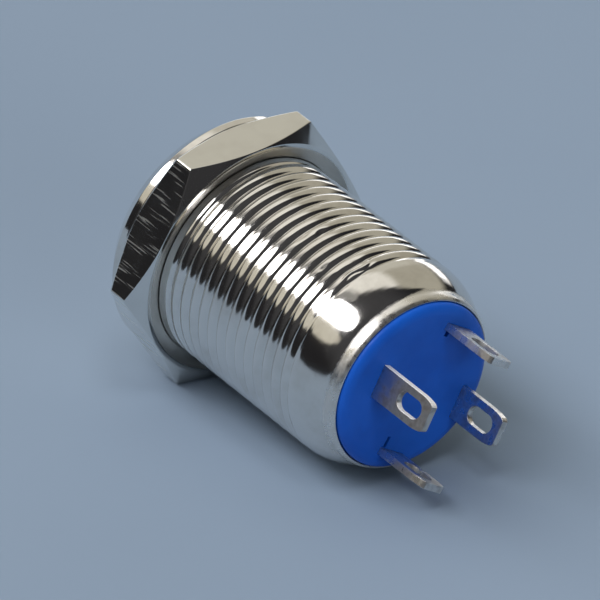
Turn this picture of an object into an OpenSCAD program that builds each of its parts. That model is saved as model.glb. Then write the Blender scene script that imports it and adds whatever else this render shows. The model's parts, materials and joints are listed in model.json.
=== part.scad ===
// Vandal-resistant momentary push button for a 12 mm panel hole.
// The button axis runs along Y: the face looks to -Y, the terminals point to +Y.
// Depths are measured along the axis from the seat under the head, positive to the rear.

/* [Head and barrel] */
// Diameter of the round head
head_d = 14; // [13.6:0.1:15]
// Thickness of the head in front of the panel seat
head_t = 1.4; // [1.3:0.05:1.8]
// Height of the straight band of the head before its bevel starts
head_band = 0.5; // [0.4:0.05:0.6]
// Radius where the bevel meets the front face
head_face_r = 6.2; // [5.8:0.1:6.4]
// Major diameter of the barrel thread
thread_d = 12; // [11.8:0.1:12.2]
// Depth at which the thread ends
thread_end = 13.3; // [12.8:0.1:13.4]
// Radius of the bow of the shoulder behind the thread, seen in section
shoulder_bow = 3.85; // [3.5:0.05:5]
// Depth where the shoulder ends in a short drop
shoulder_end = 15.35; // [15.2:0.05:15.4]
// Radius of the rolled lip between the drop and the rim
lip_r = 5.25; // [5.22:0.01:5.3]
// Depth of the rear rim of the barrel
rim_depth = 16.18; // [16:0.02:16.6]
// Radius of the main bore of the barrel
bore_r = 4.7; // [4.7:0.02:4.8]
// Radius of the rear counterbore that takes the base
rear_bore_r = 5.0; // [4.98:0.01:5.02]
// Depth where the rear counterbore starts
rear_bore_depth = 13.3; // [13:0.1:13.6]
// Radius of the opening in the front face
front_bore_r = 4.35; // [4.2:0.05:4.4]

/* [Nut] */
// Width of the nut across its flats
nut_af = 14; // [13.8:0.1:14.2]
// Thickness of the nut
nut_t = 2.5; // [2.2:0.1:3]
// Radius where the 30 degree corner chamfers start
nut_face_r = 6.95; // [6.85:0.05:6.98]
// Radius of the shallow countersink in the rear face of the nut
nut_csk_r = 6.7; // [6.1:0.05:6.8]
// Radius of the barrel where the nut's thread holds it
engaged_r = 5.6; // [5.5:0.02:5.7]
// Radial clearance between the nut and the engaged stretch
nut_gap = 0.02; // [0.01:0.01:0.1]

/* [Button] */
// Radius of the push cap
cap_r = 3.6; // [3.4:0.05:3.6]
// Height of the cap above the bezel face
cap_proud = 0.4; // [0.2:0.05:0.5]
// Travel of the button
travel = 1.2; // [0.8:0.05:1.2]
// Radius of the cap's stem
stem_r = 1.5; // [1.3:0.05:1.5]
// Running clearance of the stem and of the plunger
run_gap = 0.05; // [0.03:0.01:0.08]

/* [Base and terminals] */
// Radius of the moulded base
base_r = 4.95; // [4.9:0.01:4.96]
// Height of the base above the rear rim
base_proud = 0.4; // [0.3:0.05:0.6]
// Depth of the rounded edge of the base
base_round = 0.4; // [0.2:0.05:0.4]
// Width of the rounded edge of the base, measured inwards
base_round_w = 0.65; // [0.4:0.05:0.8]
// Width of a terminal blade
blade_w = 1.9; // [1.8:0.1:2]
// Thickness of a terminal blade
blade_t = 0.4; // [0.3:0.05:0.5]
// Length of the two switch blades outside the base
switch_len = 3.7; // [3.2:0.05:5]
// Length of the lamp plus blade outside the base
lamp_pos_len = 4.15; // [3.2:0.05:5]
// Length of the lamp minus blade outside the base
lamp_neg_len = 3.5; // [3.2:0.05:5]
// Width of a blade at its tip
blade_tip_w = 1.55; // [1.4:0.05:1.6]
// Width of the solder hole in a blade
eye_w = 1.05; // [0.8:0.05:1.1]
// Length of the solder hole in a blade
eye_len = 1.9; // [1.2:0.05:2]
// Distance from the tip of a blade to the middle of its solder hole
eye_back = 1.5; // [1.4:0.05:1.8]
// Angle of the terminal pattern about the axis
pattern_angle = 30; // [0:1:45]
// Turn of the two switch blades from the pattern, about their own axis
switch_twist = 4; // [-10:1:10]
// Turn of the two lamp blades from the pattern, about their own axis
lamp_twist = -4; // [-10:1:10]

/* [Hidden] */
$fn = 96;
e = 0.01;
thread_r = thread_d / 2;
head_r = head_d / 2;
base_face = rim_depth + base_proud;
nut_corner_r = nut_af / sqrt(3);

// inner stack, depths along the axis
web_front = 1.2;
web_back = 2.8;
board_front = 3.4;
board_back = 4.0;
carrier_front = 5.6;
carrier_back = 10.85;
base_front = 11.2;
bridge_front = 8.9;
bridge_t = 0.25;
tip_h = 0.25;
tab_t = 0.3;
tab_front = base_front - tab_t;
spring_pocket = 12.6;
contact_e2 = 2.6;

// terminal centres, measured in the turned pattern frame (e1, e2)
common_pos = [-0.90, 3.68];
switched_pos = [-0.65, -3.94];
lamp_pos_pos = [2.83, 0];
lamp_neg_pos = [-3.75, -0.30];
lead_pos_xy = [2.83, 0];
lead_neg_xy = [-3.6, -0.30];

// points of an arc in the plane of a profile
function arc(cx, cy, r, a0, a1, n = 8) =
    [for (i = [0:n]) [cx + r * cos(a0 + (a1 - a0) * i / n), cy + r * sin(a0 + (a1 - a0) * i / n)]];

// turns a model built along +Z into the frame whose axis is +Y
module axis_y() { rotate([-90, 0, 0]) children(); }
// places a child at (e1, e2) of the turned terminal pattern
module pattern(p) { rotate([0, 0, -pattern_angle]) translate([p[0], -p[1], 0]) children(); }
// plain tube from depth a to depth b
module tube(ro, ri, a, b) {
    difference() {
        translate([0, 0, a]) cylinder(r = ro, h = b - a);
        translate([0, 0, a - 1]) cylinder(r = ri, h = b - a + 2);
    }
}
// closed coil spring: wire radius rw, mean radius rm, from depth a to b
module coil(rm, rw, a, b, turns) {
    steps = 14; sides = 8; n = floor(turns * steps);
    za = a + rw; zb = b - rw;
    function lift(t) = t < 0.5 ? 0 : t > turns - 0.5 ? 1 : (t - 0.5) / (turns - 1);
    pts = [for (i = [0:n]) let (t = i / steps, th = 360 * t, z = za + (zb - za) * lift(t) * 0.999)
        for (k = [0:sides - 1]) let (q = 360 * k / sides, rr = rm + rw * cos(q))
            [rr * cos(th), rr * sin(th), z + rw * sin(q)]];
    faces = concat(
        [[for (k = [0:sides - 1]) k]],
        [[for (k = [sides - 1:-1:0]) n * sides + k]],
        [for (i = [0:n - 1], k = [0:sides - 1]) let (k2 = (k + 1) % sides)
            [i * sides + k, (i + 1) * sides + k, (i + 1) * sides + k2, i * sides + k2]]);
    polyhedron(points = pts, faces = faces, convexity = 6);
}

// turned brass body: head, threaded barrel and rolled rear rim in one piece
module housing() {
    color([0.80, 0.79, 0.76]) axis_y() difference() {
        rotate_extrude() polygon(concat(
            [[0, -head_t], [head_face_r - 0.12, -head_t]],
            [[head_face_r, -head_t + 0.05]],
            [[head_r - 0.06, -head_band - 0.05], [head_r, -head_band + 0.05]],
            [[head_r, -0.12], [head_r - 0.12, 0]],
            [[engaged_r, 0], [engaged_r, nut_t], [thread_r, nut_t]],
            arc(thread_r - shoulder_bow, thread_end, shoulder_bow, 0,
                asin((shoulder_end - thread_end) / shoulder_bow), 10),
            [[lip_r, shoulder_end + 0.2], [lip_r - 0.015, rim_depth - 0.34],
             [lip_r - 0.05, rim_depth - 0.2], [lip_r - 0.16, rim_depth], [0, rim_depth]]));
        // opening in the face, main bore and rear counterbore
        translate([0, 0, -head_t - 1]) cylinder(r = front_bore_r, h = head_t + 2);
        translate([0, 0, -0.6]) cylinder(r = bore_r, h = rear_bore_depth + 1);
        translate([0, 0, rear_bore_depth]) cylinder(r = rear_bore_r, h = 5);
        // recess for the panel seal
        tube(6.74, 6.02, -0.68, 0.01);
    }
}

// thin hexagon nut, corners chamfered at 30 degrees on both faces
module hex_nut() {
    k = tan(30);
    rr = nut_corner_r + 0.5;
    color([0.78, 0.77, 0.74]) axis_y() difference() {
        intersection() {
            cylinder(r = nut_corner_r, h = nut_t, $fn = 6);
            rotate_extrude() polygon([[0, 0], [nut_face_r, 0], [rr, (rr - nut_face_r) * k],
                [rr, nut_t - (rr - nut_face_r) * k], [nut_face_r, nut_t], [0, nut_t]]);
        }
        translate([0, 0, -1]) cylinder(r = engaged_r + nut_gap, h = nut_t + 2);
        // countersinks at both ends of the thread, the rear one wide and shallow
        translate([0, 0, nut_t]) rotate_extrude() polygon([[0, 0.3], [nut_csk_r, 0.3],
            [nut_csk_r, 0], [engaged_r, -0.45], [0, -0.45]]);
        rotate_extrude() polygon([[0, -0.3], [thread_r + 0.1, -0.3],
            [thread_r + 0.1, 0], [engaged_r, 0.4], [0, 0.4]]);
    }
}

// rubber ring that seals the head to the panel
module panel_seal() {
    color([0.08, 0.08, 0.09]) axis_y() translate([0, 0, -0.34])
        rotate_extrude() translate([6.38, 0]) circle(r = 0.33, $fn = 48);
}

// metal cap with its stem; the groove takes the retaining ring
module push_cap() {
    top = -head_t - cap_proud;
    color([0.80, 0.79, 0.77]) axis_y() rotate_extrude() polygon([
        [0, top], [cap_r - 0.25, top], [cap_r - 0.05, top + 0.1], [cap_r, top + 0.25],
        [cap_r, -0.4], [stem_r, -0.4], [stem_r, 2.98], [1.2, 2.98], [1.2, 3.32],
        [stem_r, 3.32], [stem_r, 4.9], [0, 4.9]]);
}

// clear ring that carries the light to the face and guides the cap and stem
module light_guide() {
    color([0.92, 0.93, 0.94, 0.6]) axis_y() difference() {
        rotate_extrude() polygon([[stem_r + run_gap, web_front], [cap_r + run_gap, web_front],
            [cap_r + run_gap, -head_t], [front_bore_r - 0.02, -head_t], [front_bore_r - 0.02, -0.57],
            [bore_r - 0.02, -0.57], [bore_r - 0.02, board_front], [cap_r + run_gap, board_front],
            [cap_r + run_gap, web_back], [stem_r + run_gap, web_back]]);
        // seat of the stem seal
        translate([0, 0, web_front - 1]) cylinder(r = 2.35, h = 1 + 0.8);
        // windows for the two lamps
        for (s = [-1, 1]) pattern([0, 4.17 * s]) translate([-0.8, -0.7, board_front - 0.45]) cube([1.6, 1.4, 1]);
    }
}

// small rubber ring round the stem
module stem_seal() {
    color([0.1, 0.1, 0.11]) axis_y() translate([0, 0, web_front + 0.42])
        rotate_extrude() translate([stem_r + 0.03 + 0.38, 0]) circle(r = 0.38, $fn = 48);
}

// open clip that holds the cap in the housing
module retaining_ring() {
    color([0.6, 0.6, 0.62]) axis_y() difference() {
        tube(2.0, 1.22, 3.0, 3.3);
        translate([0, -0.7, 2.9]) cube([3, 1.4, 0.5]);
    }
}

// ring-shaped circuit board of the lamps
module led_board() {
    color([0.9, 0.9, 0.86]) axis_y() difference() {
        tube(bore_r - 0.05, 2.4, board_front, board_back);
        for (p = [lead_pos_xy, lead_neg_xy]) pattern(p) translate([0, 0, 3]) cylinder(r = 0.22, h = 2, $fn = 32);
    }
}

// the two lamps on the front of the board
module led_chips() {
    color([0.98, 0.95, 0.7]) axis_y() for (s = [-1, 1]) pattern([0, 4.12 * s])
        translate([-0.6, -0.3, board_front - 0.35]) cube([1.2, 0.6, 0.35]);
}

// series resistor on the back of the board
module lamp_resistor() {
    color([0.12, 0.12, 0.12]) axis_y() pattern([0, 3.3])
        translate([-0.5, -0.25, board_back]) cube([1.0, 0.5, 0.35]);
}

// moulded slider pressed on the stem; its pin carries the contact bridge
module plunger() {
    color([0.93, 0.93, 0.91]) axis_y() difference() {
        rotate_extrude() polygon([[0, 4.6], [1.9, 4.6], [1.9, 8.0], [0.8, 8.0],
            [0.8, bridge_front + bridge_t + 0.05], [1.25, bridge_front + bridge_t + 0.05],
            [1.1, bridge_front + bridge_t + 0.45], [0, bridge_front + bridge_t + 0.45]]);
        translate([0, 0, 3]) cylinder(r = stem_r + 0.02, h = 1.92);
    }
}

// small spring that presses the bridge against the head of the pin
module contact_spring() {
    color([0.72, 0.73, 0.75]) axis_y() coil(1.2, 0.08, 8.02, bridge_front - 0.02, 3);
}

// sprung strip that joins the two fixed contacts when the button is pressed
module contact_bridge() {
    color([0.80, 0.52, 0.35]) axis_y() rotate([0, 0, -pattern_angle]) difference() {
        translate([-0.9, -3.1, bridge_front]) cube([1.8, 6.2, bridge_t]);
        translate([0, 0, bridge_front - 1]) cylinder(r = 0.86, h = 2);
    }
}

// silver tips riveted to the bridge
module bridge_contacts() {
    color([0.88, 0.88, 0.86]) axis_y() for (s = [-1, 1]) pattern([0, contact_e2 * s])
        translate([0, 0, bridge_front + bridge_t]) cylinder(r = 0.5, h = tip_h, $fn = 48);
}

// silver tips riveted to the two switch terminals
module fixed_contacts() {
    color([0.88, 0.88, 0.86]) axis_y() for (s = [-1, 1]) pattern([0, contact_e2 * s])
        translate([0, 0, tab_front - 0.28]) cylinder(r = 0.5, h = 0.28, $fn = 48);
}

// spring that returns the button
module return_spring() {
    color([0.72, 0.73, 0.75]) axis_y() coil(1.0, 0.1, bridge_front + bridge_t + 0.47, spring_pocket - 0.02, 5);
}

// moulded cup that guides the plunger and encloses the contacts
module contact_carrier() {
    color([0.86, 0.86, 0.84]) axis_y() difference() {
        rotate_extrude() polygon([[1.9 + run_gap, carrier_front], [4.2, carrier_front], [4.2, board_back],
            [bore_r - 0.1, board_back], [bore_r - 0.1, carrier_back], [3.95, carrier_back],
            [3.95, carrier_front + 1.0], [1.9 + run_gap, carrier_front + 1.0]]);
        for (p = [lead_pos_xy, lead_neg_xy]) pattern(p) translate([0, 0, 4.5]) cylinder(r = 0.26, h = 3, $fn = 32);
    }
}

// flat ring that seals the base to the barrel
module base_gasket() {
    color([0.15, 0.15, 0.16]) axis_y() tube(rear_bore_r - 0.03, bore_r - 0.08, rear_bore_depth + 0.01, rear_bore_depth + 0.2);
}

// slot cut for one terminal; along tells whether its width runs along e1
module slot_cut(p, wide_e1) {
    w = blade_w + 0.02; t = blade_t + 0.02;
    pattern(p) rotate([0, 0, wide_e1 ? -switch_twist : -lamp_twist]) translate([wide_e1 ? -w / 2 : -t / 2, wide_e1 ? -t / 2 : -w / 2, base_front - 1])
        cube([wide_e1 ? w : t, wide_e1 ? t : w, base_face]);
}

// blue moulded base that carries the terminals
module base() {
    color([0.07, 0.28, 0.65]) axis_y() difference() {
        rotate_extrude() polygon(concat(
            [[0, base_front], [bore_r - 0.1, base_front], [bore_r - 0.1, rear_bore_depth + 0.22],
             [base_r, rear_bore_depth + 0.22]],
            [for (i = [0:10]) [base_r - base_round_w * (1 - cos(9 * i)), base_face - base_round * (1 - sin(9 * i))]],
            [[0, base_face]]));
        translate([0, 0, base_front - 1]) cylinder(r = 1.35, h = spring_pocket - base_front + 1);
        slot_cut(common_pos, true);
        slot_cut(switched_pos, true);
        slot_cut(lamp_pos_pos, false);
        slot_cut(lamp_neg_pos, false);
        // small core pin marks beside two of the blades
        pattern([0.04, -3.32]) translate([-0.11, -0.32, base_face - 0.9]) cube([0.22, 0.64, 2]);
        pattern([-0.28, 3.28]) translate([-0.17, -0.3, base_face - 0.9]) cube([0.3, 0.42, 2]);
    }
}

// outline of a blade of length L: x across the width, y along the length from the base face
function blade_outline(inner, L) = let (h = blade_w / 2, t = blade_tip_w / 2) [
    [-h, inner], [h, inner], [h, L - 0.95], [h - 0.02, L - 0.65], [h - 0.06, L - 0.4],
    [t + 0.07, L - 0.2], [t, L - 0.07], [t - 0.08, L], [-t + 0.08, L], [-t, L - 0.07],
    [-t - 0.07, L - 0.2], [-h + 0.06, L - 0.4], [-h + 0.02, L - 0.65], [-h, L - 0.95]];

// flat blade of length L with a long solder hole, thickness along Y, from depth base_face + inner
module blade(inner, L) {
    eye_mid = L - eye_back;
    difference() {
        translate([0, blade_t / 2, base_face]) rotate([90, 0, 0])
            linear_extrude(height = blade_t) polygon(blade_outline(inner, L));
        translate([0, 0, base_face + eye_mid]) rotate([90, 0, 0]) {
            for (s = [-1, 1]) translate([0, s * (eye_len - eye_w) / 2, -2]) cylinder(r = eye_w / 2, h = 4, $fn = 48);
            translate([-eye_w / 2, -(eye_len - eye_w) / 2, -2]) cube([eye_w, eye_len - eye_w, 4]);
        }
    }
}

// switch terminals: a blade with a tab bent inwards over the front of the base
module terminal_common() {
    color([0.80, 0.80, 0.79]) axis_y() union() {
        pattern(common_pos) rotate([0, 0, -switch_twist]) blade(tab_front + 0.02 - base_face, switch_len);
        rotate([0, 0, -pattern_angle]) translate([-1.2, -common_pos[1] - blade_t / 2, tab_front])
            cube([1.9, common_pos[1] + blade_t / 2 - 1.95, tab_t]);
    }
}
module terminal_switched() {
    color([0.80, 0.80, 0.79]) axis_y() union() {
        pattern(switched_pos) rotate([0, 0, -switch_twist]) blade(tab_front + 0.02 - base_face, switch_len);
        rotate([0, 0, -pattern_angle]) translate([-1.2, 1.95, tab_front])
            cube([1.9, -switched_pos[1] + blade_t / 2 - 1.95, tab_t]);
    }
}
// lamp terminals: straight blades
module terminal_lamp_pos() {
    color([0.80, 0.80, 0.79]) axis_y() pattern(lamp_pos_pos) rotate([0, 0, 90 - lamp_twist]) blade(10.95 - base_face, lamp_pos_len);
}
module terminal_lamp_neg() {
    color([0.80, 0.80, 0.79]) axis_y() pattern(lamp_neg_pos) rotate([0, 0, 90 - lamp_twist]) blade(10.95 - base_face, lamp_neg_len);
}

// stiff wires from the lamp terminals to the board
module lead(p) { pattern(p) translate([0, 0, board_front + 0.1]) cylinder(r = 0.2, h = 10.95 - board_front - 0.1, $fn = 32); }
module lamp_lead_pos() { color([0.75, 0.2, 0.15]) axis_y() lead(lead_pos_xy); }
module lamp_lead_neg() { color([0.15, 0.15, 0.15]) axis_y() lead(lead_neg_xy); }

housing();
hex_nut();
panel_seal();
push_cap();
light_guide();
stem_seal();
retaining_ring();
led_board();
led_chips();
lamp_resistor();
plunger();
contact_spring();
contact_bridge();
bridge_contacts();
fixed_contacts();
return_spring();
contact_carrier();
base_gasket();
base();
terminal_common();
terminal_switched();
terminal_lamp_pos();
terminal_lamp_neg();
lamp_lead_pos();
lamp_lead_neg();
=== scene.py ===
import bpy
import json
import math
import numpy as np
from mathutils import Vector, Matrix


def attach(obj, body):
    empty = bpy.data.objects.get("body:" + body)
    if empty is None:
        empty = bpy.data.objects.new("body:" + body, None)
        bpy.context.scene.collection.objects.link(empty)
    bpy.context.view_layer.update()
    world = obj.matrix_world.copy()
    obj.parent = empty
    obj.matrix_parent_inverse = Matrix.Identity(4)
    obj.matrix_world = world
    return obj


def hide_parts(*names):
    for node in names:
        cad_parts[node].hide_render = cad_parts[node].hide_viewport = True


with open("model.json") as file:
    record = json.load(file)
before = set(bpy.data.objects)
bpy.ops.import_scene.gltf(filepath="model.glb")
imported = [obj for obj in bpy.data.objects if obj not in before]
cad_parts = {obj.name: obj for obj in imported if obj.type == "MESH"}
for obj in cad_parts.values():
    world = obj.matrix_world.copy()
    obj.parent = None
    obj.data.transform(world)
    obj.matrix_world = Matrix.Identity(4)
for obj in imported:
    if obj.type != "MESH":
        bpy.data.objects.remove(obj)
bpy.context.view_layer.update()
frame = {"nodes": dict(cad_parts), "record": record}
NODES = frame["nodes"]
BODY = "switch_body"
MM = 0.001

# ---------------------------------------------------------------- camera
az, el, roll = math.radians(49.61), math.radians(35.31), math.radians(3.95)
back = Vector((math.cos(az) * math.cos(el), math.sin(az) * math.cos(el), math.sin(el)))
flat_right = Vector((-math.sin(az), math.cos(az), 0.0))
flat_up = back.cross(flat_right)
right = math.cos(roll) * flat_right + math.sin(roll) * flat_up
up = -math.sin(roll) * flat_right + math.cos(roll) * flat_up
eye = Vector((0, 0.00235, 0)) + 1.0 * back + 0.002694 * right - 0.002262 * up
cam_data = bpy.data.cameras.new("camera")
cam_data.sensor_width = 36.0
cam_data.lens = 1128.8
cam_data.clip_start, cam_data.clip_end = 0.05, 20.0
camera = bpy.data.objects.new("camera", cam_data)
bpy.context.scene.collection.objects.link(camera)
camera.matrix_world = Matrix((
    (right.x, up.x, back.x, eye.x),
    (right.y, up.y, back.y, eye.y),
    (right.z, up.z, back.z, eye.z),
    (0, 0, 0, 1)))
bpy.context.scene.camera = camera


# ---------------------------------------------------------------- node helpers
class Tree:
    """Short calls for building a material's nodes."""

    def __init__(self, tree):
        self.t = tree

    def add(self, kind, **sets):
        n = self.t.nodes.new(kind)
        for k, v in sets.items():
            setattr(n, k, v)
        return n

    def link(self, a, b):
        self.t.links.new(a, b)

    def put(self, socket, value):
        if isinstance(value, bpy.types.NodeSocket):
            self.link(value, socket)
        else:
            socket.default_value = value

    def math(self, op, a, b=0.0, clamp=False):
        n = self.add("ShaderNodeMath", operation=op, use_clamp=clamp)
        self.put(n.inputs[0], a)
        if len(n.inputs) > 1:
            self.put(n.inputs[1], b)
        return n.outputs[0]

    def ramp(self, value, lo, hi, out_lo=0.0, out_hi=1.0, smooth=True):
        n = self.add("ShaderNodeMapRange")
        n.interpolation_type = "SMOOTHSTEP" if smooth else "LINEAR"
        self.put(n.inputs["Value"], value)
        n.inputs["From Min"].default_value = lo
        n.inputs["From Max"].default_value = hi
        n.inputs["To Min"].default_value = out_lo
        n.inputs["To Max"].default_value = out_hi
        return n.outputs["Result"]

    def noise(self, vector, scale, detail=2.0, rough=0.5):
        n = self.add("ShaderNodeTexNoise")
        self.link(vector, n.inputs["Vector"])
        n.inputs["Scale"].default_value = scale
        n.inputs["Detail"].default_value = detail
        n.inputs["Roughness"].default_value = rough
        return n.outputs[0]

    def mix(self, factor, a, b):
        n = self.add("ShaderNodeMix", data_type="RGBA")
        self.put(n.inputs[0], factor)
        for s, v in ((n.inputs[6], a), (n.inputs[7], b)):
            if isinstance(v, bpy.types.NodeSocket):
                self.link(v, s)
            else:
                s.default_value = (*v, 1.0)
        return n.outputs[2]

    def stretch(self, vector, x, y, z):
        n = self.add("ShaderNodeVectorMath", operation="MULTIPLY")
        self.link(vector, n.inputs[0])
        n.inputs[1].default_value = (x, y, z)
        return n.outputs[0]

    def bump(self, height, strength, distance, normal=None):
        n = self.add("ShaderNodeBump")
        n.inputs["Strength"].default_value = strength
        n.inputs["Distance"].default_value = distance
        self.link(height, n.inputs["Height"])
        if normal is not None:
            self.link(normal, n.inputs["Normal"])
        return n.outputs["Normal"]


def start(name):
    m = bpy.data.materials.new(name)
    m.use_nodes = True
    m.node_tree.nodes.clear()
    t = Tree(m.node_tree)
    out = t.add("ShaderNodeOutputMaterial")
    bsdf = t.add("ShaderNodeBsdfPrincipled")
    t.link(bsdf.outputs[0], out.inputs[0])
    pos = t.add("ShaderNodeTexCoord").outputs["Object"]
    return m, t, bsdf, pos


def turned_coords(t, pos):
    """Radius and depth as coordinates, so that a pattern on them runs round the axis."""
    s = t.add("ShaderNodeSeparateXYZ")
    t.link(pos, s.inputs[0])
    r = t.math("SQRT", t.math("ADD", t.math("MULTIPLY", s.outputs[0], s.outputs[0]),
                              t.math("MULTIPLY", s.outputs[2], s.outputs[2])))
    c = t.add("ShaderNodeCombineXYZ")
    t.link(r, c.inputs[0])
    t.link(s.outputs[1], c.inputs[1])
    return c.outputs[0]


def nickel(name, light, dark, rough, lines=0.10, waves=0.10, lip=None):
    """Polished plating on turned brass: fine turning lines, slight waves and thin stains."""
    m, t, b, pos = start(name)
    turned = turned_coords(t, pos)
    fine = t.noise(turned, 14000, 3.0, 0.6)
    wave = t.noise(pos, 900, 2.0, 0.5)
    stain = t.noise(pos, 420, 4.0, 0.6)
    speck = t.noise(pos, 5200, 2.0, 0.5)
    t.link(t.mix(t.ramp(stain, 0.42, 0.72), light, dark), b.inputs["Base Color"])
    b.inputs["Metallic"].default_value = 1.0
    r = t.math("ADD", t.ramp(stain, 0.3, 0.75, rough, rough + 0.06),
               t.ramp(speck, 0.62, 0.75, 0.0, 0.07))
    if lip is not None:
        # the lip rolled over the base is duller and mottled
        s = t.add("ShaderNodeSeparateXYZ")
        t.link(pos, s.inputs[0])
        r = t.math("ADD", r, t.math("MULTIPLY", t.ramp(s.outputs[1], lip * MM, (lip + 0.12) * MM),
                                    t.ramp(t.noise(pos, 1900, 3.0, 0.6), 0.3, 0.7, 0.12, 0.34)))
    t.link(r, b.inputs["Roughness"])
    n1 = t.bump(fine, lines, 0.000006)
    n2 = t.bump(wave, waves, 0.00003, n1)
    t.link(n2, b.inputs["Normal"])
    return m


def nut_nickel(name, light, dark, rough):
    """Plated hexagon bar: drawing lines and scratches along the axis on the flats, turned faces."""
    m, t, b, pos = start(name)
    geo = t.add("ShaderNodeNewGeometry")
    s = t.add("ShaderNodeSeparateXYZ")
    t.link(geo.outputs["Normal"], s.inputs[0])
    side = t.ramp(t.math("ABSOLUTE", s.outputs[1]), 0.25, 0.1)
    turned = turned_coords(t, pos)
    fine = t.noise(turned, 12000, 3.0, 0.6)
    drawn = t.noise(t.stretch(pos, 1.0, 0.06, 1.0), 6500, 3.0, 0.65)
    # thin scuffs along the axis on the flats, but the clean top one
    streak = t.noise(t.stretch(pos, 1.0, 0.05, 1.0), 9500, 1.0, 0.4)
    worn = t.math("MULTIPLY", side, t.ramp(s.outputs[2], 0.85, 0.72))
    scratch = t.math("MULTIPLY", t.ramp(streak, 0.57, 0.69), worn)
    # the turned countersink is duller than the faces
    radius = t.add("ShaderNodeSeparateXYZ")
    t.link(turned, radius.inputs[0])
    cone = t.ramp(radius.outputs[0], 0.00677, 0.00668)
    patch = t.noise(pos, 700, 2.0, 0.5)
    t.link(t.mix(t.ramp(patch, 0.4, 0.72), light, dark), b.inputs["Base Color"])
    b.inputs["Metallic"].default_value = 1.0
    r = t.math("ADD", t.ramp(patch, 0.3, 0.75, rough, rough + 0.05), t.math("MULTIPLY", scratch, 0.20))
    t.link(t.math("ADD", r, t.math("MULTIPLY", cone, 0.30)), b.inputs["Roughness"])
    pick = t.add("ShaderNodeMix", data_type="FLOAT")
    t.link(side, pick.inputs[0])
    t.link(fine, pick.inputs[2])
    t.link(drawn, pick.inputs[3])
    n1 = t.bump(pick.outputs[0], 0.10, 0.000008)
    n2 = t.bump(scratch, 0.15, 0.000006, n1)
    t.link(n2, b.inputs["Normal"])
    return m


def moulded(name, light, dark, rough, grain=0.15, coat=0.0, transmission=0.0, shine=0.5):
    """Injection moulded plastic: slight cloudiness, fine grain and small specks."""
    m, t, b, pos = start(name)
    cloud = t.noise(pos, 380, 3.0, 0.55)
    skin = t.noise(pos, 9000, 2.0, 0.5)
    flow = t.noise(pos, 1300, 2.0, 0.5)
    t.link(t.mix(t.ramp(cloud, 0.35, 0.7), light, dark), b.inputs["Base Color"])
    t.link(t.ramp(flow, 0.3, 0.7, rough, rough + 0.08), b.inputs["Roughness"])
    b.inputs["Specular IOR Level"].default_value = shine
    b.inputs["Coat Weight"].default_value = coat
    b.inputs["Coat Roughness"].default_value = 0.2
    b.inputs["Transmission Weight"].default_value = transmission
    n1 = t.bump(skin, grain, 0.000006)
    n2 = t.bump(flow, grain * 0.8, 0.00003, n1)
    t.link(n2, b.inputs["Normal"])
    return m


def tinned(name, light, dark, rough, edge=None):
    """Stamped strip with bright tin: rolled lines and dull mottling; faces turned towards the edge direction get a
    painted highlight (pale colour, less metallic, rougher).
    """
    m, t, b, pos = start(name)
    rolled = t.noise(t.stretch(pos, 1.0, 0.08, 1.0), 7000, 3.0, 0.6)
    dull = t.noise(pos, 1500, 2.5, 0.5)
    colour = t.mix(t.ramp(dull, 0.4, 0.7), light, dark)
    r = t.ramp(dull, 0.3, 0.75, rough, rough + 0.14)
    b.inputs["Metallic"].default_value = 1.0
    if edge is not None:
        geo = t.add("ShaderNodeNewGeometry")
        d = t.add("ShaderNodeVectorMath", operation="DOT_PRODUCT")
        t.link(geo.outputs["Normal"], d.inputs[0])
        d.inputs[1].default_value = (edge[0], 0.0, edge[1])
        # painted highlight: faces turned towards edge are given a pale colour, less metal and more roughness
        painted_highlight_mask = t.ramp(d.outputs["Value"], 0.40, 0.70)
        colour = t.mix(painted_highlight_mask, colour, (0.90, 0.89, 0.87))
        t.link(t.math("SUBTRACT", 1.0, t.math("MULTIPLY", painted_highlight_mask, 0.8)), b.inputs["Metallic"])
        r = t.math("ADD", r, t.math("MULTIPLY", painted_highlight_mask, 0.2))
    t.link(colour, b.inputs["Base Color"])
    t.link(r, b.inputs["Roughness"])
    n1 = t.bump(rolled, 0.02, 0.000003)
    n2 = t.bump(dull, 0.03, 0.000006, n1)
    t.link(n2, b.inputs["Normal"])
    return m


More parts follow.
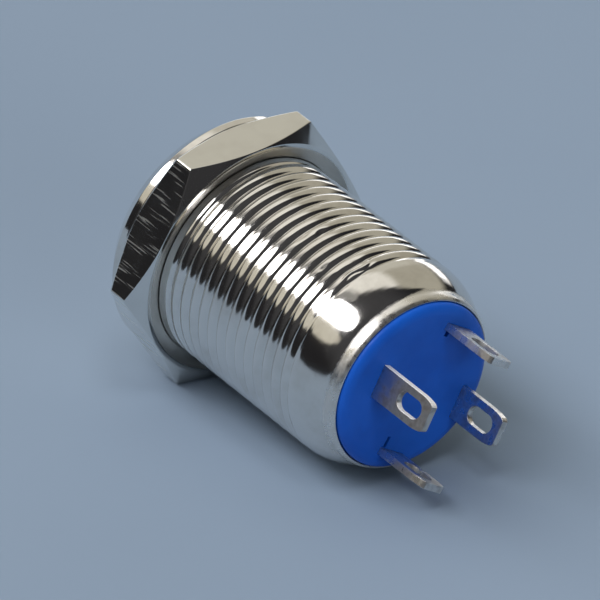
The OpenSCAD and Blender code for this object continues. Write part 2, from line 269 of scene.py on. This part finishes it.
MATS = {
    "nickel": nickel("nickel_plate", (0.80, 0.775, 0.73), (0.70, 0.67, 0.62), 0.075, lip=15.38),
    "nut_nickel": nut_nickel("nut_plate", (0.79, 0.775, 0.73), (0.755, 0.74, 0.695), 0.08),
    "cap_metal": nickel("cap_plate", (0.80, 0.78, 0.745), (0.73, 0.71, 0.67), 0.17, lines=0.45),
    "light_ring": moulded("ring_plastic", (0.86, 0.88, 0.90), (0.78, 0.81, 0.84), 0.28, transmission=0.25),
    "seal_rubber": moulded("seal_rubber", (0.022, 0.022, 0.024), (0.04, 0.04, 0.042), 0.62, grain=0.4),
    "spring_steel": nickel("spring_wire", (0.66, 0.66, 0.67), (0.52, 0.52, 0.53), 0.2),
    "board": moulded("board_mask", (0.80, 0.82, 0.78), (0.74, 0.76, 0.72), 0.4),
    "lamp_chip": moulded("chip_resin", (0.92, 0.86, 0.5), (0.88, 0.8, 0.42), 0.25),
    "resistor_body": moulded("resistor_skin", (0.03, 0.03, 0.03), (0.05, 0.05, 0.05), 0.45),
    "plunger_plastic": moulded("plunger_acetal", (0.85, 0.85, 0.82), (0.8, 0.8, 0.77), 0.4),
    "contact_strip": tinned("contact_copper", (0.82, 0.52, 0.36), (0.70, 0.42, 0.28), 0.25),
    "silver": tinned("silver_tip", (0.90, 0.89, 0.87), (0.80, 0.79, 0.76), 0.2),
    "carrier_plastic": moulded("carrier_nylon", (0.76, 0.76, 0.72), (0.7, 0.7, 0.66), 0.45),
    "base_blue": moulded("base_plastic", (0.010, 0.115, 0.60), (0.008, 0.095, 0.52), 0.38, grain=0.12, shine=0.28),
    "terminal_tin": tinned("terminal_plate", (0.80, 0.775, 0.74), (0.52, 0.485, 0.45), 0.25),
    "lead_red": moulded("lead_red", (0.5, 0.03, 0.02), (0.42, 0.025, 0.02), 0.35),
    "lead_black": moulded("lead_black", (0.02, 0.02, 0.02), (0.035, 0.035, 0.035), 0.35),
}
for part in frame["record"]["subparts"]:
    o = NODES[part["node"]]
    o.data.materials.clear()
    o.data.materials.append(MATS[part["material_slot"]])
# the lamp plus blade is the dull, mottled one, with a painted highlight on its upper edge
dull_blade_painted_highlight = tinned("terminal_plate_dull_painted_highlight", (0.66, 0.62, 0.58), (0.36, 0.32, 0.29), 0.30, edge=(-0.45, 0.893))
NODES["terminal_lamp_pos"].data.materials[0] = dull_blade_painted_highlight


# ---------------------------------------------------------------- mesh helpers
def fillet(points, seg=5):
    """Rounds the corners of an open or closed run of (r, y, radius) points."""
    closed = points[0] == points[-1]
    pts = points[:-1] if closed else points
    out, n = [], len(pts)
    for i, (r, y, rad) in enumerate(pts):
        p = np.array([r, y], float)
        if rad <= 0 or (not closed and i in (0, n - 1)):
            out.append(p)
            continue
        a, b = np.array(pts[i - 1][:2], float), np.array(pts[(i + 1) % n][:2], float)
        u, v = a - p, b - p
        lu, lv = np.linalg.norm(u), np.linalg.norm(v)
        u, v = u / lu, v / lv
        ang = math.acos(max(-1.0, min(1.0, float(u @ v))))
        if ang > math.pi - 1e-3:
            out.append(p)
            continue
        cut = min(rad / math.tan(ang / 2), 0.45 * lu, 0.45 * lv)
        rad = cut * math.tan(ang / 2)
        mid = (u + v) / np.linalg.norm(u + v)
        c = p + mid * rad / math.sin(ang / 2)
        s, e = p + u * cut - c, p + v * cut - c
        a0, a1 = math.atan2(s[1], s[0]), math.atan2(e[1], e[0])
        d = (a1 - a0 + math.pi) % (2 * math.pi) - math.pi
        out += [c + rad * np.array([math.cos(a0 + d * k / seg), math.sin(a0 + d * k / seg)])
                for k in range(seg + 1)]
    return np.array(out)


def finish_mesh(name, verts, faces, normals, material, slot, body, nodes):
    """Makes the object in metres, with the faces turned outwards and smooth normals of its own."""
    tri = np.array([(f[0], f[i], f[i + 1]) for f in faces for i in range(1, len(f) - 1)])
    a, b, c = verts[tri[:, 0]], verts[tri[:, 1]], verts[tri[:, 2]]
    if float(np.einsum("ij,ij->i", a, np.cross(b, c)).sum()) < 0:
        faces = [tuple(reversed(f)) for f in faces]
        tri = tri[:, ::-1]
    me = bpy.data.meshes.new(name)
    me.from_pydata((verts * MM).tolist(), [], faces)
    me.polygons.foreach_set("use_smooth", [True] * len(me.polygons))
    if normals is not None:
        # one face of each vertex tells which way its normal has to point
        fn = np.cross(verts[tri[:, 1]] - verts[tri[:, 0]], verts[tri[:, 2]] - verts[tri[:, 0]])
        acc = np.zeros_like(verts)
        for k in range(3):
            np.add.at(acc, tri[:, k], fn)
        flip = np.einsum("ij,ij->i", acc, normals) < 0
        normals[flip] *= -1
        me.normals_split_custom_set_from_vertices(normals.tolist())
    me.materials.append(material)
    ob = bpy.data.objects.new(name, me)
    bpy.context.scene.collection.objects.link(ob)
    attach(ob, body)
    if nodes:
        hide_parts(*nodes)
    return ob


def ring_mesh(name, P, **kw):
    """A closed surface from a grid of points, closed round the axis and along the profile."""
    J, K = P.shape[:2]
    dj = np.roll(P, -1, 0) - np.roll(P, 1, 0)
    dk = np.roll(P, -1, 1) - np.roll(P, 1, 1)
    N = np.cross(dj, dk)
    N /= np.maximum(np.linalg.norm(N, axis=-1, keepdims=True), 1e-12)
    idx = np.arange(J * K).reshape(J, K)
    a, b = idx, np.roll(idx, -1, 0)
    c, d = np.roll(b, -1, 1), np.roll(a, -1, 1)
    faces = np.stack([a, b, c, d], -1).reshape(-1, 4).tolist()
    return finish_mesh(name, P.reshape(-1, 3), [tuple(f) for f in faces], N.reshape(-1, 3), **kw)


def lathe(name, profile, J=128, **kw):
    """A turned solid whose profile starts and ends on the axis."""
    t = np.linspace(0, 2 * math.pi, J, endpoint=False)
    inner = profile[1:-1]
    P = np.stack([np.outer(np.cos(t), inner[:, 0]), np.tile(inner[:, 1], (J, 1)),
                  np.outer(np.sin(t), inner[:, 0])], -1)
    K = P.shape[1]
    dj = np.roll(P, -1, 0) - np.roll(P, 1, 0)
    dk = np.empty_like(P)
    dk[:, 1:-1] = P[:, 2:] - P[:, :-2]
    first = np.array([0, profile[0][1], 0])
    last = np.array([0, profile[-1][1], 0])
    dk[:, 0] = P[:, 1] - first
    dk[:, -1] = last - P[:, -2]
    N = np.cross(dj, dk)
    N /= np.maximum(np.linalg.norm(N, axis=-1, keepdims=True), 1e-12)
    idx = np.arange(J * K).reshape(J, K)
    faces = []
    for j in range(J):
        j2 = (j + 1) % J
        for k in range(K - 1):
            faces.append((idx[j, k], idx[j2, k], idx[j2, k + 1], idx[j, k + 1]))
        faces.append((J * K, idx[j2, 0], idx[j, 0]))
        faces.append((J * K + 1, idx[j, K - 1], idx[j2, K - 1]))
    V = np.vstack([P.reshape(-1, 3), first, last])
    NN = np.vstack([N.reshape(-1, 3), [0, -1, 0], [0, 1, 0]])
    return finish_mesh(name, V, [tuple(int(i) for i in f) for f in faces], NN, **kw)


# ---------------------------------------------------------------- threaded housing
PITCH = 0.7825
CREST, ROOT = 6.0, 5.80
NUT_T = 2.5


def thread_shape():
    """One pitch of the plated thread, 0 at the root and 1 at the crest: broad crests and narrow roots."""
    u = np.linspace(0, 1, 400, endpoint=False)
    s = np.sin(math.pi * u) ** 0.6
    k = np.exp(-0.5 * (np.arange(-60, 61) / 400 / 0.03) ** 2)
    k /= k.sum()
    s = np.convolve(np.tile(s, 3), k, "same")[400:800]
    return u, (s - s.min()) / (s.max() - s.min())


TU, TS = thread_shape()


def smooth(x, a, b):
    x = np.clip((x - a) / (b - a), 0, 1)
    return x * x * (3 - 2 * x)


LAND = np.array([
    (12.9, 6.0), (13.3, 6.0), (13.6, 5.988), (13.9, 5.953), (14.2, 5.893), (14.5, 5.808), (14.8, 5.696),
    (15.1, 5.553), (15.35, 5.409), (15.45, 5.30), (15.55, 5.25), (15.70, 5.247), (15.84, 5.235),
    (15.98, 5.20), (16.08, 5.145), (16.14, 5.085)])


def land_radius(y):
    yy = np.linspace(12.5, 16.14, 800)
    rr = np.interp(yy, LAND[:, 0], LAND[:, 1])
    k = np.exp(-0.5 * (np.arange(-50, 51) * (yy[1] - yy[0]) / 0.055) ** 2)
    k /= k.sum()
    pad = np.concatenate([np.full(50, rr[0]), rr, rr[-1] + (rr[-1] - rr[-2]) * np.arange(1, 51)])
    return np.interp(y, yy, np.convolve(pad, k, "valid"))


# dents in the crests: angle from +X to +Z and depth in mm, how far they reach, and how deep they are
NICKS = ((74.0, 8.56, 5.0, 0.20, 0.17), (82.0, 8.98, 2.6, 0.14, 0.15), (66.5, 11.2, 3.2, 0.16, 0.10),
         (94.0, 7.1, 1.6, 0.10, 0.08), (24.0, 9.9, 1.3, 0.08, 0.05),
         (-40.0, 7.6, 2.4, 0.14, 0.10), (170.0, 10.3, 3.0, 0.15, 0.12), (-120.0, 5.7, 2.0, 0.12, 0.10))


def outer_radius(t, y):
    """Radius of the barrel behind the nut's rear countersink; t in radians, y in mm."""
    phase = (y / PITCH + t / (2 * math.pi) + 0.13) % 1.0
    s = np.interp(phase, np.append(TU, 1.0), np.append(TS, TS[0]))
    deep = 1 - smooth(y + 0.12 * np.sin(t * 2 + 0.6), 12.9, 13.6)
    top = land_radius(y)
    top = np.where(y < NUT_T, np.minimum(top, 5.57 + np.clip(y - 1.9, 0, 9) * 1.3), top)
    r = top - (CREST - ROOT) * deep * (1 - s) * smooth(y, 2.3, 3.2)
    # thin ridge and shallow cut where the die stopped
    tail = np.exp(-((y - 13.38 + 0.20 * (t / math.pi)) / 0.06) ** 2)
    r -= 0.020 * tail * smooth(y, 12.9, 13.2)
    # torn, uneven ridges on one side of the run-out
    side = (np.degrees(t) - 76 + 180) % 360 - 180
    torn = np.exp(-(side / 14.0) ** 2 - ((y - 12.75) / 0.62) ** 2)
    r -= 0.026 * torn * (1 + np.sin(2 * math.pi * (y / 0.29 + t * 0.8) + 1.4 * np.sin(t * 21)))
    for a, yy, wa, wy, depth in NICKS:
        da = (np.degrees(t) - a + 180) % 360 - 180
        g = np.exp(-(da / wa) ** 2 - ((y - yy) / wy) ** 2)
        r -= 0.5 * depth * g * s
    return r


J = 232
ts = np.linspace(-math.pi, math.pi, J, endpoint=False)
front = fillet([
    (4.35, -1.4, 0.05), (6.2, -1.4, 0.10), (7.0, -0.5, 0.16), (7.0, 0.0, 0.10), (6.74, 0.0, 0.0),
    (6.74, -0.68, 0.0), (6.02, -0.68, 0.0), (6.02, 0.0, 0.0), (5.6, 0.0, 0.0), (5.6, 1.6, 0.0)], 6)[1:]
ys_thread = np.arange(1.9, 13.2, PITCH / 16)
ys_tail = np.concatenate([np.arange(13.2, 16.0, 0.07), [16.03, 16.07, 16.105, 16.13, 16.145]])
inner = fillet([(5.07, 16.145, 0.0), (5.0, 16.18, 0.03), (5.0, 13.3, 0.0), (4.7, 13.3, 0.0),
                (4.7, -0.6, 0.0), (4.35, -0.6, 0.0), (4.35, -1.4, 0.05), (6.2, -1.4, 0.0)], 4)[1:-1]
rows = []
cols = ts[:, None]
for r, y in front:
    rows.append(np.stack([r * np.cos(ts), np.full(J, y), r * np.sin(ts)], -1))
for y in np.concatenate([ys_thread, ys_tail]):
    rr = outer_radius(ts, np.full(J, y))
    rows.append(np.stack([rr * np.cos(ts), np.full(J, y), rr * np.sin(ts)], -1))
for r, y in [(5.055, 16.165), (5.03, 16.178)] + [tuple(p) for p in inner]:
    rows.append(np.stack([r * np.cos(ts), np.full(J, y), r * np.sin(ts)], -1))
housing_body = ring_mesh("threaded_housing", np.stack(rows, 1), material=MATS["nickel"], slot="nickel",
                         body=BODY, nodes=["housing"])


# ---------------------------------------------------------------- hexagon nut
def nut():
    af, rho = 7.0, 0.17
    cols, apex = [], af / math.cos(math.radians(30))
    half = math.degrees(math.atan2((apex - rho / math.cos(math.radians(30))) * math.sin(math.radians(30)), af))
    for k in range(6):
        mid = 30 + 60 * k
        # straight part of the flat, then the rounded corner after it
        for a in np.linspace(-half, half, 25):
            cols.append((mid + a, af / math.cos(math.radians(a))))
        cr = apex - rho / math.cos(math.radians(30))
        c = np.array([cr, 0.0])
        for b in np.linspace(-30, 30, 8)[1:-1]:
            p = c + rho * np.array([math.cos(math.radians(b)), math.sin(math.radians(b))])
            cols.append((mid + 30 + math.degrees(math.atan2(p[1], p[0])), float(np.hypot(*p))))
    P = []
    for a, R in cols:
        drop = max((R - 6.95) * math.tan(math.radians(30)), 0.004)
        prof = fillet([
            (5.62, 0.4, 0.0), (5.62, 1.88, 0.0), (6.04, 2.22, 0.10), (6.70, 2.5, 0.50), (6.95, 2.5, 0.14),
            (R, 2.5 - drop, 0.09), (R, drop, 0.28), (6.95, 0.0, 0.14), (6.1, 0.0, 0.05), (5.62, 0.4, 0.0)], 5)
        # the profile's points, taken over one by one
        full = []
        for p, q in zip(prof, np.roll(prof, -1, 0)):
            full.append(p)
        P.append([(r * math.cos(math.radians(a)), y, r * math.sin(math.radians(a))) for r, y in full])
    return np.array(P)


nut_body = ring_mesh("panel_nut", nut(), material=MATS["nut_nickel"], slot="nut_nickel", body=BODY,
                     nodes=["hex_nut"])

# ---------------------------------------------------------------- cap
cap_profile = fillet([
    (0, -1.8, 0.0), (3.33, -1.8, 0.10), (3.6, -1.62, 0.12), (3.6, -0.4, 0.05), (1.5, -0.4, 0.05),
    (1.5, 2.98, 0.0), (1.2, 2.98, 0.0), (1.2, 3.32, 0.0), (1.5, 3.32, 0.0), (1.5, 4.9, 0.05), (0, 4.9, 0.0)], 6)
lathe("button_cap", cap_profile, J=160, material=MATS["cap_metal"], slot="cap_metal", body="button",
      nodes=["push_cap"])

# ---------------------------------------------------------------- rounded edges on the CAD parts kept
def soften(node, width, segments=2, limit=35):
    o = NODES[node]
    w = o.modifiers.new("join", "WELD")
    w.merge_threshold = 0.000002
    b = o.modifiers.new("edges", "BEVEL")
    b.width = width * MM
    b.segments = segments
    b.limit_method = "ANGLE"
    b.angle_limit = math.radians(limit)
    b.harden_normals = True
    b.use_clamp_overlap = True


for n in ("terminal_common", "terminal_switched", "terminal_lamp_neg"):
    soften(n, 0.10, 4)
soften("terminal_lamp_pos", 0.18, 5)
soften("light_guide", 0.03, 2)

# ---------------------------------------------------------------- floor: level far away, sloped where the part lies on it
def floor_height(y):
    """Height in mm: the plane through the nut's rear edge and the end of the thread, levelled out far away."""
    slope, at = 1.0 / 10.83, 2.47
    reach, soft = 40.0, 30.0
    d = np.asarray(y, float) - at
    a = np.abs(d)
    over = np.clip((a - reach) / soft, 0, 1)
    run = np.minimum(a, reach) + soft * (over - over ** 3 + over ** 4 / 2)
    return -7.0 + slope * np.sign(d) * run


fy = np.unique(np.concatenate([np.linspace(-4000, -80, 12), np.linspace(-80, 80, 65), np.linspace(80, 4000, 12)]))
fx = np.array([-4000.0, -400.0, -60.0, 60.0, 400.0, 4000.0])
fz = floor_height(fy) - 0.004
verts = [(x * MM, y * MM, z * MM) for y, z in zip(fy, fz) for x in fx]
faces = [(i * 6 + j, i * 6 + j + 1, (i + 1) * 6 + j + 1, (i + 1) * 6 + j) for i in range(len(fy) - 1) for j in range(5)]
me = bpy.data.meshes.new("floor")
me.from_pydata(verts, [], faces)
me.polygons.foreach_set("use_smooth", [True] * len(me.polygons))
floor_mat, ft, fb, fpos = start("floor_paper")
ft.link(ft.mix(ft.noise(fpos, 60, 2.0), (0.215, 0.28, 0.365), (0.225, 0.29, 0.375)), fb.inputs["Base Color"])
fb.inputs["Roughness"].default_value = 0.85
fb.inputs["Specular IOR Level"].default_value = 0.2
me.materials.append(floor_mat)
floor = bpy.data.objects.new("floor", me)
bpy.context.scene.collection.objects.link(floor)

# ---------------------------------------------------------------- studio: soft cards in a dark room
world = bpy.data.worlds.new("studio")
bpy.context.scene.world = world
world.use_nodes = True
world.node_tree.nodes.clear()
W = Tree(world.node_tree)
w_out = W.add("ShaderNodeOutputWorld")
direction = W.add("ShaderNodeTexCoord").outputs["Generated"]


def unit(azimuth, elevation):
    a, e = math.radians(azimuth), math.radians(elevation)
    return Vector((math.cos(a) * math.cos(e), math.sin(a) * math.cos(e), math.sin(e)))


def card(azimuth, elevation, long_deg, short_deg, soft, colour, turn=0.0):
    """A soft-edged rectangle of light in a direction; its long side leans towards the part's axis."""
    c = unit(azimuth, elevation)
    u = (Vector((0, 1, 0)) - c * c.y).normalized()
    v = c.cross(u)
    k = math.radians(turn)
    u, v = u * math.cos(k) + v * math.sin(k), v * math.cos(k) - u * math.sin(k)

    def dot(vec):
        n = W.add("ShaderNodeVectorMath", operation="DOT_PRODUCT")
        W.link(direction, n.inputs[0])
        n.inputs[1].default_value = vec
        return n.outputs["Value"]

    facing = W.math("MAXIMUM", dot(c), 0.001)
    la = W.math("ABSOLUTE", W.math("DIVIDE", dot(u), facing))
    sa = W.math("ABSOLUTE", W.math("DIVIDE", dot(v), facing))
    L, S = math.tan(math.radians(long_deg)), math.tan(math.radians(short_deg))
    m = W.math("MULTIPLY", W.ramp(la, L * (1 + soft), L * (1 - soft)), W.ramp(sa, S * (1 + soft), S * (1 - soft)))
    m = W.math("MULTIPLY", m, W.math("GREATER_THAN", dot(c), 0.0))
    return W.mix(m, (0, 0, 0), colour)


split = W.add("ShaderNodeSeparateXYZ")
W.link(direction, split.inputs[0])
ROUND = W.math("ARCTAN2", split.outputs[2], split.outputs[0])
ALONG = W.math("ARCSINE", split.outputs[1])


def strip(middle, half, low, high, bow, soft, colour):
    """A light panel that runs along the part's axis, in degrees round it and along it, with a rounded rear end."""
    a = W.math("DIVIDE", W.math("SUBTRACT", ROUND, math.radians(middle)), math.radians(half))
    b = W.math("MAXIMUM", W.math("DIVIDE", W.math("SUBTRACT", ALONG, math.radians(high - bow)), math.radians(bow)), 0.0)
    d = W.math("ADD", W.math("MULTIPLY", a, a), W.math("MULTIPLY", b, b))
    m = W.math("MULTIPLY", W.ramp(d, 1 + soft, 1 - soft), W.ramp(ALONG, math.radians(low - 5), math.radians(low + 5)))
    return W.mix(m, (0, 0, 0), colour)


def panel(left, right, low, high, slant, side, end, colour):
    """A light panel between two angles round the part; its rear end leans with the angle round it."""
    lean = W.math("MULTIPLY", W.math("SUBTRACT", ROUND, math.radians(left)), slant)
    rear = W.math("SUBTRACT", ALONG, lean)
    m = W.math("MULTIPLY", W.ramp(ROUND, math.radians(left - side), math.radians(left + side)),
               W.ramp(ROUND, math.radians(right + side), math.radians(right - side)))
    m = W.math("MULTIPLY", m, W.ramp(ALONG, math.radians(low - end), math.radians(low + end)))
    m = W.math("MULTIPLY", m, W.ramp(rear, math.radians(high + end), math.radians(high - end)))
    return W.mix(m, (0, 0, 0), colour)


def add_all(parts):
    total = parts[0]
    for p in parts[1:]:
        n = W.add("ShaderNodeMix", data_type="RGBA", blend_type="ADD", clamp_result=False)
        n.inputs[0].default_value = 1.0
        W.link(total, n.inputs[6])
        W.link(p, n.inputs[7])
        total = n.outputs[2]
    return total


cards = [
    strip(58.5, 12.0, -76, 21, 24, 0.12, (5.0, 5.0, 5.15)),
    strip(37.5, 9.5, -76, 14, 30, 0.25, (0.62, 0.59, 0.50)),
    strip(78.0, 6.5, -66, -10, 20, 0.30, (0.28, 0.275, 0.26)),
    panel(84, 118, -72, -15, 0.55, 5, 4, (0.90, 0.88, 0.82)),
    panel(118, 166, -72, -28, 0.0, 5, 4, (0.56, 0.54, 0.47)),
    panel(118, 166, -28, 3.7, 0.55, 5, 4, (0.42, 0.40, 0.33)),
    card(-141, 5, 25, 5, 0.30, (1.8, 1.8, 1.8)),
    card(60, 50, 45, 45, 0.6, (0.04, 0.04, 0.042)),
]
ambient = W.mix(1.0, (0, 0, 0), (0.017, 0.017, 0.019))
light = add_all([ambient] + cards)
lit = W.add("ShaderNodeBackground")
W.link(light, lit.inputs["Color"])
plain = W.add("ShaderNodeBackground")
plain.inputs["Color"].default_value = (0.55, 0.62, 0.70, 1)
path = W.add("ShaderNodeLightPath")
pick = W.add("ShaderNodeMixShader")
W.link(path.outputs["Is Camera Ray"], pick.inputs[0])
W.link(lit.outputs[0], pick.inputs[1])
W.link(plain.outputs[0], pick.inputs[2])
W.link(pick.outputs[0], w_out.inputs[0])
bpy.context.scene.view_settings.view_transform = "Standard"


def lamp(name, azimuth, elevation, distance, size, power, colour):
    """A large soft lamp that lights the plastic and the floor and has no mirror image in the metal."""
    data = bpy.data.lights.new(name, "AREA")
    data.shape = "SQUARE"
    data.size = size
    data.energy = power
    data.color = colour
    ob = bpy.data.objects.new(name, data)
    bpy.context.scene.collection.objects.link(ob)
    to = unit(azimuth, elevation)
    ob.location = to * distance
    ob.rotation_euler = to.to_track_quat("Z", "Y").to_euler()
    ob.visible_glossy = False
    return ob


lamp("rear_fill", 82, 25, 0.8, 0.35, 1.45, (1.0, 1.0, 1.0))
lamp("overhead", 60, 74, 0.9, 0.22, 1.3, (1.0, 1.0, 1.0))
